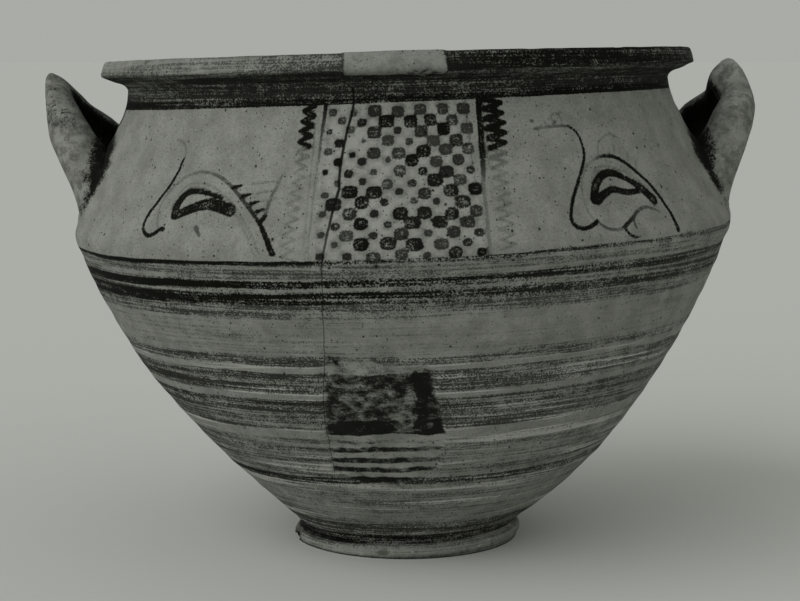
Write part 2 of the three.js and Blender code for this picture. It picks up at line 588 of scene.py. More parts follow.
@dataclass(frozen=True)
class FigureZone:
    """The painted shoulder: a chequered panel between lines and zigzags, with a water bird on each side."""

    bottom: float = 169.5
    top: float = 240.5
    panel_left: float = -37.5
    panel_right: float = 35.5
    cell: tuple[float, float] = (5.75, 4.65)
    seed: int = 11

    def paint(self, brush: Brush) -> None:
        """Paints the whole zone.

        Args:
            brush: What paints it.
        """
        self.chequers(brush)
        self.ruled_lines(brush)
        self.zigzags(brush)
        self.left_bird(brush)
        self.right_bird(brush)

    def chequers(self, brush: Brush) -> None:
        """The chequered panel, dabbed by hand, close and square above and loose and round below.

        Args:
            brush: What paints it.
        """
        draw = np.random.default_rng(self.seed)
        wide, tall = self.cell
        columns = round((self.panel_right - self.panel_left) / wide)
        rows = round((self.top - self.bottom) / tall)
        for row, column in product(range(rows), range(columns)):
            size, wear, broad = draw.random(3)
            shift = draw.normal(0, 0.45, 2)
            if (row + column) % 2:
                continue
            height, reach = (row + 0.5) / rows, column / (columns - 1)
            centre = (
                self.panel_left + (column + 0.5) * wide + shift[0],
                self.bottom + (row + 0.5) * tall + shift[1] - 0.8 * reach,
            )
            small = height < 0.85 and size < 0.5 - 0.3 * reach
            scale = 0.6 + 0.24 * wear if small else 1.02 + 0.22 * wear
            if height > 0.5 and reach < 0.3:
                scale *= 0.7
            breadth = 0.92 + 0.24 * broad
            square = 4.2 if height > 0.7 else 2.2 + 1.2 * broad
            brush.blot(centre, (wide * breadth * scale, tall * 1.08 * scale), square, 0.86 + 0.14 * wear)

    def ruled_lines(self, brush: Brush) -> None:
        """The upright lines on both sides of the panel, dark at the top and worn away below.

        Args:
            brush: What paints it.
        """
        low, mid, high = self.bottom, 205, self.top
        brush.stroke([(-37.6, high), (-38.6, 224)], (2.4, 1.5), (Ink.BLACK, Ink.WORN))
        brush.stroke([(-38.6, 224), (-39.6, mid)], (1.5, 1.1), (Ink.WORN, Ink.GHOST))
        brush.stroke([(-39.6, mid), (-40.4, low)], 1.1, Ink.GHOST)
        brush.stroke([(-35.2, high), (-36.4, low)], 0.9, Ink.GHOST)
        brush.stroke([(-42.2, 232), (-42.6, low)], 0.9, Ink.GHOST)
        brush.stroke([(43.2, high), (40.6, 214)], (3.6, 3), Ink.BLACK)
        brush.stroke([(40.6, 214), (39, 200)], (3, 1.6), (Ink.BLACK, Ink.FADED))
        brush.stroke([(39, 200), (37.6, low)], 1.7, (Ink.FADED, Ink.GHOST))
        brush.stroke([(35.8, high), (35.2, 203)], (1.3, 1.1), (Ink.WORN, Ink.FADED))
        brush.stroke([(45.4, high), (42.6, 208)], 0.9, (Ink.FADED, Ink.GHOST))

    def zigzags(self, brush: Brush) -> None:
        """A zigzag up each outer side of the panel's lines, nearly gone below."""
        self.zigzag(brush, (-43.8, -49.6), 4.7, 2.7, 224)
        self.zigzag(brush, (46, 55.6), 4.6, 2.8, 219)

    def zigzag(
        self, brush: Brush, sides: tuple[float, float], pitch: float, width: float, worn_at: float
    ) -> None:
        """One upright zigzag.

        Args:
            brush: What paints it.
            sides: Its inner and outer limits at the top.
            pitch: Height of one tooth.
            width: Width of the stroke at the top.
            worn_at: Height below which it is nearly worn away.
        """
        inner, outer = sides
        height = self.top
        while height > self.bottom + pitch:
            share = smooth_step(worn_at - 14, worn_at + 12, np.array([height]))[0]
            ink = Ink.BLACK if share > 0.5 else Ink.FADED if share > 0.16 else Ink.GHOST
            drift = (self.top - height) * 0.05
            a, b = inner - drift, outer - drift - (2.2 * (1 - share) if outer > 0 else 0)
            middle, low = height - pitch / 2, height - pitch
            broad = width * (0.45 + 0.55 * share)
            brush.stroke([(a, height), (b, middle)], (broad * 1.25, broad * 0.8), ink)
            brush.stroke([(b, middle), (a, low)], (broad * 0.8, broad * 1.25), ink)
            height = low

    def left_bird(self, brush: Brush) -> None:
        """A long-necked water bird looking left, drawn in outline with a filled wing.

        Args:
            brush: What paints it.
        """
        neck = [
            (-117.6, 217), (-118.6, 211.5), (-122.5, 203.5), (-127.5, 196), (-131.6, 190.5), (-132.6, 186.5),
            (-131, 183), (-127, 180.9), (-122.6, 181.9), (-119.6, 184.1), (-117.4, 184),
        ]
        back = [(-104, 210.8), (-97, 210.4), (-90, 208.2), (-83, 204.3), (-76, 198.6), (-69, 192.2)]
        rump = [(-63, 185.6), (-59.4, 179.6), (-56.4, 173.4)]
        brush.stroke([(-127, 226), (-121, 224.6), (-118, 220.5), (-117.6, 217)], 1.5, Ink.GHOST)
        brush.stroke(neck, (1.7, 2.2), Ink.BLACK)
        brush.stroke([(-121, 184), (-124.4, 190), (-123.6, 197), (-119, 204)], 1.4, Ink.GHOST)
        brush.stroke([(-119, 204), (-112, 208.8), (-104, 210.8)], 1.4, (Ink.GHOST, Ink.FADED))
        brush.stroke([*back, rump[0]], (1.5, 2), (Ink.FADED, Ink.BLACK))
        brush.stroke(rump, (2.1, 3), Ink.BLACK)
        for inset in (2.6, 5.2):
            middle = (-84, 201.5 - inset)
            chest = [(-119 + inset, 196 - inset), (-113 + inset / 2, 204.6 - inset / 2)]
            brush.stroke([*chest, (-103, 208 - inset * 0.8), (-92, 206 - inset), middle], 1.2, Ink.GHOST)
            behind = [(-73 - inset, 192), (-64 - inset, 181), (-60 - inset, 173.5)]
            brush.stroke([middle, *behind], 1.1, Ink.GHOST)
        wing = [(-113, 191), (-112.4, 196.5), (-107.5, 201.4), (-99, 201.6), (-87, 199)]
        brush.stroke(wing, (5, 2), Ink.BLACK)
        brush.stroke([(-112, 190.4), (-104, 193.6), (-93, 195.9), (-80.5, 193.2)], (4, 6), Ink.BLACK)
        feathers = ((-82, 203.6, 5), (-75.4, 199.6, 4.4), (-70.6, 196, 4), (-66.4, 192.6, 3.4))
        for across, up, length in feathers:
            brush.stroke([(across, up), (across + length, up + 1)], (2.2, 1.2), Ink.BLACK)
        brush.stroke([(-64, 187.4), (-62.2, 190.6)], 2.4, Ink.BLACK)
        tail = [(-56.4, 209), (-59, 203), (-61.4, 195.4), (-62, 190.6)]
        brush.stroke(tail, (1.5, 1.9), (Ink.FADED, Ink.WORN))
        for up in (206.6, 202.2, 198.4):
            brush.stroke([(-72 + (206.6 - up) * 0.8, up - 1.4), (-57.5, up)], 1.1, Ink.GHOST)
        brush.stroke([(-97.6, 185.2), (-94.4, 181.4)], (2.6, 1.4), Ink.WORN)

    def right_bird(self, brush: Brush) -> None:
        """A water bird looking left too, with a crested head and a foot.

        Args:
            brush: What paints it.
        """
        neck = [
            (91.6, 225.6), (95.4, 222.6), (97, 217), (95.6, 210.8), (91.6, 204.4), (86.6, 198), (82.4, 191.8),
            (79.6, 186), (78.8, 182), (80.8, 179.2), (85, 178.3), (89.4, 179.4), (92, 180.9),
        ]
        back = [(108, 210.6), (115, 209.6), (122, 206), (129, 200.2), (135, 193.6), (139.4, 186.4)]
        rump = [(141.8, 179), (142.6, 172.6)]
        brush.stroke([(71, 225.4), (82, 226), (91.6, 225.6)], (1.4, 1.5), (Ink.FADED, Ink.WORN))
        ring = [(85.4 + 3.1 * math.cos(a), 228.9 + 3.1 * math.sin(a)) for a in np.linspace(0, 2 * math.pi, 9)]
        brush.stroke(ring, 1.1, Ink.FADED)
        brush.blot((83.8, 228), (2.2, 2.2), 2, Ink.WORN.value)
        brush.stroke([(80, 229), (83.6, 231.8), (89.6, 232.4)], 1.1, Ink.GHOST)
        brush.blot((70.4, 229), (2.8, 1.6), 2, Ink.WORN.value)
        brush.blot((72.2, 225.3), (3.4, 1.4), 2, Ink.WORN.value)
        brush.stroke(neck, (1.5, 2.2), Ink.BLACK)
        chest = [(90.6, 181.4), (88.4, 188), (89, 197), (94, 205), (101, 209.4)]
        brush.stroke(chest, 1.2, (Ink.GHOST, Ink.FADED))
        brush.stroke([(101, 209.4), (108, 210.6)], 1.5, (Ink.FADED, Ink.BLACK))
        brush.stroke([*back, rump[0]], (1.8, 2.4), Ink.BLACK)
        brush.stroke(rump, (2.4, 3), Ink.BLACK)
        brush.stroke([(104.6, 209.8), (106, 214.4), (110, 218.4), (117, 220.6), (124, 218)], 1.2, Ink.GHOST)
        for inset in (2.6, 5.0):
            middle = (109, 208.4 - inset)
            front = [(93.6, 192), (94.6 + inset / 2, 199.5), (101, 206.5 - inset / 2)]
            brush.stroke([*front, middle], 1.1, Ink.GHOST)
            behind = [(121, 204 - inset), (131 - inset, 195), (136.6 - inset, 184)]
            brush.stroke([middle, *behind], 1.1, Ink.GHOST)
        for across, up in ((112, 214), (116, 215.4), (120, 214), (124, 211), (128, 207)):
            brush.stroke([(across, up - 3.4), (across + 1.6, up)], 1, Ink.GHOST)
        brush.stroke([(94.4, 191), (97.4, 197.4), (104, 202), (111, 202.2), (119, 198.6)], (5, 3), Ink.BLACK)
        brush.stroke([(119, 198.6), (126, 194), (132.4, 188)], (3, 5.4), Ink.BLACK)
        brush.stroke([(96, 190), (101, 193), (107, 194.6), (116, 192.8), (126, 193)], (4, 2.6), Ink.BLACK)
        brush.stroke([(93, 180), (97.4, 177.2), (102.4, 176.2), (107.4, 177.4)], 1.5, Ink.WORN)
        belly = [(107.4, 177.4), (112.6, 180.2), (118, 183.4), (124, 185), (129, 184), (133, 182)]
        brush.stroke(belly, (2, 1.4), (Ink.BLACK, Ink.FADED))
        brush.stroke([(106.6, 177), (109, 173.2), (113.4, 171.6)], (1.8, 1.4), Ink.BLACK)
        brush.stroke([(113.4, 180), (114, 176)], 1.5, Ink.WORN)


@dataclass(frozen=True)
class OldDamage:
    """The crack, the mended patch below it, the filled rim and the broken foot."""

    crack: tuple[tuple[float, float], ...] = (
        (241, -23), (236, -24), (223, -26.6), (208, -28.4), (202, -28), (189, -31), (175, -33.4),
        (160, -35.2), (125, -40), (110, -43.5), (98, -47.5), (82, -53), (66, -58), (54, -63),
    )
    patch: tuple[tuple[float, float], ...] = (
        (-40, 123), (-30, 121), (-12, 119.5), (-2, 115.5), (9, 116.5), (14.5, 113), (15, 101),
        (19, 91), (22.5, 80), (21, 70), (19, 60), (8, 53), (-3, 48), (-42, 47.5), (-52, 53),
        (-63, 55), (-58, 66), (-53, 82), (-47, 98), (-43, 110),
    )
    fill: tuple[float, float] = (-8.9, 8.4)
    break_centre: Place = (-66, -14, 0.5)
    break_size: Place = (8.5, 12.5, 6.2)
    chip_centre: Place = (-13.5, -63.5, 3.2)
    chip_size: Place = (4.6, 3.4, 2.8)

    def crack_offset(self, across: np.ndarray, up: np.ndarray) -> np.ndarray:
        """Signed distance of places from the crack's line, far away beyond its ends.

        Args:
            across: Millimetres round the jar from the middle of the front.
            up: Heights in the painter's level.

        Returns:
            Millimetres, below 0 on its left.
        """
        heights, places = np.array(self.crack[::-1]).T
        offset = across - np.interp(up, heights, places)
        return np.where((up < heights[0]) | (up > heights[-1] + 8), FAR, offset)

    def patch_edge(self, across: np.ndarray, up: np.ndarray) -> np.ndarray:
        """Signed distance of places outside the mended patch.

        Args:
            across: Millimetres round the jar from the middle of the front.
            up: Heights in the painter's level.

        Returns:
            Millimetres, below 0 inside the patch.
        """
        corners = np.array(self.patch)
        far = np.full(len(across), FAR)
        inside = np.zeros(len(across), bool)
        here = np.stack([across, up], axis=1)
        for a, b in zip(corners, np.roll(corners, -1, axis=0), strict=True):
            far = np.minimum(far, to_segment(here, a, b)[0])
            spans = (a[1] > up) != (b[1] > up)
            with np.errstate(divide="ignore", invalid="ignore"):
                crossing = a[0] + (up - a[1]) * (b[0] - a[0]) / (b[1] - a[1])
            inside ^= spans & (across < crossing)
        return np.where(inside, -far, far)


@dataclass
class JarBody:
    """The jar as one closed skin with both handles, and with its relief and painted places."""

    profile: JarProfile = field(default_factory=JarProfile)
    settling: Settling = field(default_factory=Settling)
    damage: OldDamage = field(default_factory=OldDamage)
    figures: FigureZone = field(default_factory=FigureZone)
    handles: tuple[LoopHandle, ...] = (RIGHT_HANDLE, LEFT_HANDLE)
    front_reach: float = 80
    front_columns: int = 400
    back_columns: int = 120
    zone_low: float = 165
    zone_high: float = 242.5
    zone_radius: float = 163
    paint_tilt: float = math.tan(math.radians(0.8))
    fillet: float = 15
    sole_radius: float = 58.8
    paint_reach: float = 1.3
    damage_reach: float = 1.2
    seed: int = 5

    def angles(self) -> np.ndarray:
        """The finest columns' angles, close together round the front.

        Returns:
            Angles from the front, once round.
        """
        reach = math.radians(self.front_reach)
        front = np.linspace(-reach, reach, self.front_columns, endpoint=False)
        back = np.linspace(reach, 2 * math.pi - reach, self.back_columns, endpoint=False)
        return np.r_[front, back]

    def rows(self) -> list[tuple[float, float, Density]]:
        """The thrown body's rows from under the foot to the floor inside: radius, height and density.

        Returns:
            One row of the mesh after another.
        """
        p = self.profile
        ring = p.foot_radius - p.ring_width
        under = [(ring * 0.5, p.recess), (ring - 4, p.recess), (ring, p.recess / 2)]
        under += [(ring, 0), (ring + 5, 0), (self.sole_radius, 0)]
        outside = p.outside()
        height = outside[:, 1]
        foot = spaced(p.foot(), 0.9)
        low = spaced(outside[(height > p.foot_height) & (height <= self.zone_low)], 2.5)
        zone = spaced(outside[(height > self.zone_low) & (height <= self.zone_high)], 1.0)
        rim_top = np.array([(p.rim_radius - 3.8, p.height), (p.neck_radius - p.wall + 3.4, p.height)])
        rim = spaced(outside[height > self.zone_high], 1.05)
        inside = spaced(np.vstack([spaced(rim_top, 2.5)[1:-1], p.inside()]), 5)
        plan = [(under, Density.HALF), (foot, Density.HALF), (low, Density.HALF), (zone, Density.FINE)]
        plan += [(rim, Density.HALF), (inside, Density.HALF)]
        return [(float(r), float(z), density) for part, density in plan for r, z in part]

    def thrown(self) -> Skin:
        """The body without handles.

        Returns:
            Its points on the upright jar, and its faces.
        """
        angles = self.angles()
        p = self.profile
        points = [np.array([(0, 0, p.recess)])]
        rings: list[np.ndarray] = []
        count = 1
        for radius, height, density in self.rows():
            turn = angles[:: density.value]
            level = np.full(len(turn), height)
            points.append(np.stack([radius * np.sin(turn), -radius * np.cos(turn), level], axis=1))
            rings.append(np.arange(count, count + len(turn)))
            count += len(turn)
        points.append(np.array([(0, 0, p.foot_height + p.floor)]))
        faces: Faces = []
        for low, high in zip(rings, rings[1:], strict=False):
            faces += self.stitched(low, high)
        first, last = rings[0], rings[-1]
        faces += [(int(b), int(a), 0) for a, b in zip(first, np.roll(first, -1), strict=True)]
        faces += [(count, int(a), int(b)) for a, b in zip(last, np.roll(last, -1), strict=True)]
        return np.vstack(points), faces

    def stitched(self, low: np.ndarray, high: np.ndarray) -> Faces:
        """Faces between two rows that have as many columns, or twice as many one as the other.

        Args:
            low: Numbers of the lower row's vertices.
            high: Those of the upper row.

        Returns:
            The faces, as numbers of their vertices.
        """
        next_low, next_high = np.roll(low, -1), np.roll(high, -1)
        if len(low) == len(high):
            return [tuple(map(int, f)) for f in zip(low, next_low, next_high, high, strict=True)]
        faces: Faces = []
        if len(low) < len(high):
            for i in range(len(low)):
                a, b, m = high[2 * i], high[(2 * i + 2) % len(high)], high[2 * i + 1]
                faces += [(low[i], m, a), (low[i], next_low[i], m), (next_low[i], b, m)]
        else:
            for i in range(len(high)):
                a, b, m = low[2 * i], low[(2 * i + 2) % len(low)], low[2 * i + 1]
                faces += [(a, m, high[i]), (m, next_high[i], high[i]), (m, b, next_high[i])]
        return [tuple(map(int, f)) for f in faces]

    def core(self) -> Skin:
        """What is left out of the handles' ends, so that they stop in the middle of the wall.

        Returns:
            Its points on the upright jar, and its faces.
        """
        columns = 96
        turn = np.linspace(0, 2 * math.pi, columns, endpoint=False)
        heights = np.linspace(140, 240, 26)
        radii = self.profile.radius_at(heights) - self.profile.wall / 2
        rings = [
            np.stack([r * np.cos(turn), r * np.sin(turn), np.full(columns, z)], axis=1)
            for r, z in zip(radii, heights, strict=True)
        ]
        faces: Faces = []
        for i in range(len(rings) - 1):
            low = np.arange(columns) + i * columns
            faces += self.stitched(low, low + columns)
        last = (len(rings) - 1) * columns
        faces += [tuple(range(columns))[::-1], tuple(range(last, last + columns))]
        return np.vstack(rings), faces

    def break_lump(self, noise: ClayNoise) -> Skin:
        """The rough lump whose shape is missing from the foot.

        Args:
            noise: The clay's unevenness.

        Returns:
            Its points on the upright jar, and its faces.
        """
        rows, columns = 14, 24
        rings = []
        for polar in np.linspace(0, math.pi, rows + 1)[1:-1]:
            turn = np.linspace(0, 2 * math.pi, columns, endpoint=False)
            flat, level = math.sin(polar), np.full(columns, math.cos(polar))
            rings.append(np.stack([flat * np.cos(turn), flat * np.sin(turn), level], axis=1))
        ball = np.vstack([[(0, 0, 1)], *rings, [(0, 0, -1)]])
        rough = 1 + 0.16 * noise.at(ball * 9, 3.1) + 0.1 * noise.at(ball * 9 + 40, 1.4)
        points = ball * rough[:, None] * self.damage.break_size + self.damage.break_centre
        last = len(ball) - 1
        faces: Faces = []
        for k in range(columns):
            n = (k + 1) % columns
            faces.append((0, 1 + k, 1 + n))
            for i in range(rows - 2):
                a, b = 1 + i * columns, 1 + (i + 1) * columns
                faces.append((a + k, b + k, b + n, a + n))
            base = last - columns
            faces.append((last, base + n, base + k))
        return points, faces

    def build(self) -> bpy.types.Object:
        """Makes the jar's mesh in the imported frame.

        Returns:
            The jar, with what the finish needs stored on its vertices.
        """
        noise = ClayNoise(self.seed)
        body = self.scratch("thrown", *self.thrown())
        for i, handle in enumerate(self.handles):
            core = self.scratch("core", *self.core())
            loop = self.combined(self.scratch(f"loop{i}", *handle.skin()), core, "DIFFERENCE")
            body = self.combined(body, loop, "UNION")
        body = self.combined(body, self.scratch("lump", *self.break_lump(noise)), "DIFFERENCE")
        mesh = body.data
        points = self.filleted(self.read(mesh, "co"))
        centre = self.frame_shift(points)
        mesh.vertices.foreach_set("co", points.astype(np.float32).ravel())
        mesh.update()
        normals = self.read(mesh, "normal")
        marks = self.marks(points, normals)
        shaped = points + normals * self.relief(points, marks, noise)[:, None]
        placed = np.clip((self.on_table(shaped) + centre) * METRES, *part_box(NODE))
        mesh.vertices.foreach_set("co", placed.astype(np.float32).ravel())
        for name, values in marks.items():
            attribute = mesh.attributes.new(name, "FLOAT", "POINT")
            attribute.data.foreach_set("value", values.astype(np.float32))
        upright = mesh.attributes.new("upright", "FLOAT_VECTOR", "POINT")
        upright.data.foreach_set("vector", points.astype(np.float32).ravel())
        mesh.update()
        mesh.shade_smooth()
        mesh.set_sharp_from_angle(angle=math.radians(50))
        body.name = mesh.name = "painted_jar"
        return body

    def scratch(self, name: str, points: np.ndarray, faces: Faces) -> bpy.types.Object:
        """An object in the upright jar's millimetres, to be joined or cut.

        Args:
            name: Its name.
            points: Points of the upright jar, one a row.
            faces: Its faces.

        Returns:
            The object.
        """
        mesh = bpy.data.meshes.new(name)
        mesh.from_pydata(points.tolist(), [], faces)
        mesh.update()
        return linked(name, mesh)

    def read(self, mesh: bpy.types.Mesh, name: str) -> np.ndarray:
        """The places or the normals of a mesh's vertices, one a row.

        Args:
            mesh: The mesh.
            name: Blender's name for them, co or normal.

        Returns:
            The values.
        """
        values = np.zeros(len(mesh.vertices) * 3, np.float32)
        mesh.vertices.foreach_get(name, values)
        return values.reshape(-1, 3).astype(float)

    def combined(self, body: bpy.types.Object, other: bpy.types.Object, how: str) -> bpy.types.Object:
        """The body joined with another form or cut by it.

        Args:
            body: What is kept.
            other: What is joined or cut away, used up by this.
            how: UNION or DIFFERENCE.

        Returns:
            The body with its new mesh.
        """
        step = body.modifiers.new(how, "BOOLEAN")
        step.operation, step.solver, step.object = how, "EXACT", other
        bpy.context.view_layer.update()
        made = bpy.data.meshes.new_from_object(body.evaluated_get(bpy.context.evaluated_depsgraph_get()))
        body.modifiers.clear()
        spent = [body.data, other.data]
        body.data = made
        bpy.data.objects.remove(other)
        for mesh in spent:
            bpy.data.meshes.remove(mesh)
        return body

    def filleted(self, points: np.ndarray) -> np.ndarray:
        """Points with the corner between each handle and the wall filled by a smooth smear of clay.

        Args:
            points: Points of the upright jar, one a row.

        Returns:
            The moved points.
        """
        moved = points.copy()
        near = np.flatnonzero((points[:, 2] > 150) & (points[:, 2] < 258) & (np.abs(points[:, 0]) > 110))
        for _ in range(2):
            here = moved[near]
            wall, straight = self.wall_distance(here)
            outer = wall > -self.profile.wall / 2
            for handle in self.handles:
                loop, away = handle.distance(here)
                mix = np.maximum(self.fillet - np.abs(wall - loop), 0) / self.fillet
                level = np.minimum(wall, loop) - mix**2 * self.fillet / 4
                lean = np.where(wall < loop, 1 - mix / 2, mix / 2)[:, None]
                push = unit(straight * lean + away * (1 - lean))
                moving = outer & (mix > 0) & (level < 0) & (np.maximum(wall, loop) < self.fillet)
                here = np.where(moving[:, None], here - push * level[:, None] * 0.5, here)
            moved[near] = here
        return moved

    def wall_distance(self, points: np.ndarray) -> tuple[np.ndarray, np.ndarray]:
        """How far points stand off the thrown wall.

        Args:
            points: Points of the upright jar, one a row.

        Returns:
            The distance of each outside the wall, and the wall's outward direction there.
        """
        x, y, up = points.T
        radius = np.maximum(np.hypot(x, y), TINY)
        slope = self.profile.slope_at(up)
        steep = 1 / np.hypot(1, slope)
        outward = np.stack([x / radius, y / radius, -slope], axis=1) * steep[:, None]
        return (radius - self.profile.radius_at(up)) * steep, outward

    def on_table(self, points: np.ndarray) -> np.ndarray:
        """Points of the upright jar on the leaning one, with the foot's underside level on the table.

        Args:
            points: Points of the upright jar, one a row.

        Returns:
            The same points on the leaning jar.
        """
        radius = np.hypot(points[:, 0], points[:, 1])
        under = (points[:, 2] <= self.profile.recess + 0.2) & (radius < self.sole_radius + 0.7)
        placed = np.where(under[:, None], points, self.settling.settle(points))
        placed[:, 2] = np.maximum(placed[:, 2], 0)
        return placed

    def frame_shift(self, points: np.ndarray) -> np.ndarray:
        """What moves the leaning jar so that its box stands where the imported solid's does.

        Args:
            points: Points of the upright jar, one a row.

        Returns:
            Millimetres to add, none of them upward.
        """
        placed = self.on_table(points)
        low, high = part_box(NODE)
        solid = (np.array(low) + np.array(high)) / 2 / METRES
        shift = solid - (placed.min(0) + placed.max(0)) / 2
        return np.array([shift[0], shift[1], 0])

    def marks(self, points: np.ndarray, normals: np.ndarray) -> dict[str, np.ndarray]:
        """What the finish and the relief read at each vertex.

        Args:
            points: Points of the upright jar, one a row.
            normals: The surface's direction at each.

        Returns:
            Values by name, one a vertex.
        """
        turn = np.arctan2(points[:, 0], -points[:, 1])
        level = points[:, 2] - self.paint_tilt * points[:, 0]
        across = turn * self.zone_radius
        radius = np.hypot(points[:, 0], points[:, 1])
        wall, _ = self.wall_distance(points)
        inner = (wall < -self.profile.wall * 0.55) & (points[:, 2] > self.profile.foot_height + 6)
        on_top = (points[:, 2] > self.profile.height - 0.3) & (radius < self.profile.rim_radius - 4.5)
        loop = np.full(len(points), np.inf)
        for handle in self.handles:
            loop = np.minimum(loop, handle.distance(points)[0])
        in_zone = (points[:, 2] > self.zone_low) & (points[:, 2] < self.zone_high + 2)
        on_wall = ~inner & in_zone & (np.abs(turn) < self.paint_reach)
        brush = Brush(np.stack([across, level], axis=1)[on_wall])
        self.figures.paint(brush)
        edge, depth = np.full(len(points), FAR), np.zeros(len(points))
        edge[on_wall], depth[on_wall] = brush.edge, brush.depth
        front = (np.abs(turn) < self.damage_reach) & ~inner
        crack = np.where(front, self.damage.crack_offset(across, level), FAR)
        patch = np.where(front, self.damage.patch_edge(across, level), FAR)
        degrees = np.degrees(turn)
        low, high = self.damage.fill
        fill = np.maximum(low - degrees, degrees - high) * math.radians(1) * radius
        fill = np.maximum(fill, self.profile.lip_height - 2.2 - points[:, 2])
        gone = np.linalg.norm((points - self.damage.break_centre) / np.array(self.damage.break_size), axis=1)
        chip = np.linalg.norm((points - self.damage.chip_centre) / np.array(self.damage.chip_size), axis=1)
        roll = smooth_step(0.6, 3.5, np.where(wall > 0, wall, 0)) * smooth_step(9, 2, loop)
        return {
            "stroke_edge": edge,
            "stroke_ink": depth,
            "crack": crack,
            "patch": patch,
            "rim_fill": fill,
            "loop": roll,
            "inside": np.where(inner | on_top, 1.0, 0.0),
            "broken": np.maximum(smooth_step(1.32, 1.16, gone), smooth_step(1.15, 0.85, chip)),
            # Next: dark paint round the handle roots with painted shade in their corners, then painted shade
            # in the eyes of the handles.
            "smear_and_shade": self.root_smears_and_shade(points, wall, loop),
            "eye_shade": self.painted_eye_shade(points, normals, roll),
        }

    def root_smears_and_shade(self, points: np.ndarray, wall: np.ndarray, loop: np.ndarray) -> np.ndarray:
        """How much dark paint is smeared round the handles' roots, widened into painted shade in the corners
        where the handles meet the wall.

        Args:
            points: Points of the upright jar, one a row.
            wall: Their distances outside the thrown wall.
            loop: Their distances outside the handles.

        Returns:
            The cover of smeared paint and painted shade, from 0 to 1.
        """
        reach = 7 + 9 * smooth_step(192, 214, points[:, 2])
        # Paint round the handle roots, widened into the corners as painted shade.
        corner = smooth_step(1, 0.2, np.abs(wall) / reach) * smooth_step(1, 0.2, np.abs(loop) / reach)
        height = smooth_step(176, 196, points[:, 2]) * smooth_step(248, 232, points[:, 2])
        outside = smooth_step(-4, -2, wall)
        return corner * height * outside * np.where(points[:, 1] < 0, 1.0, 0.6)

    def painted_eye_shade(self, points: np.ndarray, normals: np.ndarray, roll: np.ndarray) -> np.ndarray:
        """How far each vertex faces into the eye of a handle, where the dark paint's colour is laid as
        painted shade.

        Args:
            points: Points of the upright jar, one a row.
            normals: The surface's direction at each.
            roll: How far each belongs to a handle, from 0 to 1.

        Returns:
            The painted shade's cover, from 0 to 1.
        """
        found = np.zeros(len(points))
        # Painted shade: the wall and the arms' inner faces inside each handle's eye are darkened.
        for handle in self.handles:
            out, _, up = handle.root
            eyes = handle.turned(np.array([(out + 36, 0, up + 34), (out + 12, 0, up + 30)]))
            toward = eyes[:, None] - points
            far = np.linalg.norm(toward, axis=2)
            outer, inner = np.sum(normals * toward, axis=2) / np.maximum(far, TINY)
            turn = math.radians(handle.azimuth)
            aside = np.abs(points[:, 1] * math.cos(turn) - points[:, 0] * math.sin(turn))
            deep = smooth_step(0.1, 0.5, outer) * smooth_step(44, 34, aside)
            arms = smooth_step(-0.25, 0.4, inner) * roll
            found = np.maximum(found, smooth_step(78, 60, far[0]) * np.maximum(deep, arms))
        return found

    def relief(self, points: np.ndarray, marks: dict[str, np.ndarray], noise: ClayNoise) -> np.ndarray:
        """How far each vertex stands out of the plain form, for wheel marks, unevenness and old damage.

        Args:
            points: Points of the upright jar, one a row.
            marks: What was found at each vertex.
            noise: The clay's unevenness.

        Returns:
            Millimetres along each vertex's normal.
        """
        level = points[:, 2]
        wheel = 0.14 * np.sin(level * 0.42 + 1.5 * noise.at(points, 60)) + 0.07 * np.sin(level * 0.8)
        uneven = 0.35 * noise.at(points, 55) + 0.14 * noise.at(points, 14) + 0.05 * noise.at(points, 4)
        on_loop = marks["loop"]
        out = np.where(on_loop > 0.5, 0.4 * noise.at(points, 16) + 0.1 * noise.at(points, 5), wheel + uneven)
        out = np.where(marks["inside"] > 0.5, wheel * 1.5 + uneven, out)
        sunk = smooth_step(0.8, -1.2, marks["patch"])
        rough = 0.32 * noise.at(points, 5.5) + 0.28 * noise.at(points, 2.6)
        upper = smooth_step(70, 86, level)
        out += sunk * (-0.7 + rough * upper)
        out -= 0.55 * np.exp(-((marks["crack"] / 0.9) ** 2))
        out += 0.5 * smooth_step(0.6, -0.6, marks["rim_fill"])
        lip = smooth_step(253, 256, level) * smooth_step(0.2, 1.5, marks["rim_fill"])
        out -= lip * np.maximum(0, noise.at(points, 7) - 0.45) * 1.8
        right = lip * smooth_step(0, 60, points[:, 0])
        for groove in (254.2, 257.6):
            out -= right * 0.5 * np.exp(-(((level - groove) / 0.7) ** 2))
        out += marks["broken"] * (0.35 * noise.at(points, 2.2) - 0.5)
        standing = (level < 1.5) & (marks["inside"] < 0.5)
        return np.where(standing, 0, out)


@dataclass(frozen=True)
class Wire:
    """A value in a finish's nodes, which arithmetic carries on through further nodes."""

    pad: "NodePad"
    socket: Socket

    def __add__(self, other: "Wire | float") -> "Wire":
        """The sum with another value."""
        return self.pad.sum("ADD", self, other)

    def __sub__(self, other: "Wire | float") -> "Wire":
        """What is left when another value is taken away."""
        return self.pad.sum("SUBTRACT", self, other)

    def __rsub__(self, other: float) -> "Wire":
        """What is left of a number when this value is taken away."""
        return self.pad.sum("SUBTRACT", other, self)

    def __mul__(self, other: "Wire | float") -> "Wire":
        """The product with another value."""
        return self.pad.sum("MULTIPLY", self, other)

    def __truediv__(self, other: "Wire") -> "Wire":
        """The value divided by another."""
        return self.pad.sum("DIVIDE", self, other)

    def __or__(self, other: "Wire") -> "Wire":
        """The greater of two values, as one cover lies over another."""
        return self.pad.sum("MAXIMUM", self, other)

    def __abs__(self) -> "Wire":
        """The value without its sign."""
        return self.pad.sum("ABSOLUTE", self)

    def eased(self, low: float, high: float) -> "Wire":
        """The value eased from 0 at low to 1 at high."""
        inputs = {"Value": self, "From Min": low, "From Max": high}
        return self.pad.wire(self.pad.node("MapRange", inputs, interpolation_type="SMOOTHSTEP"))


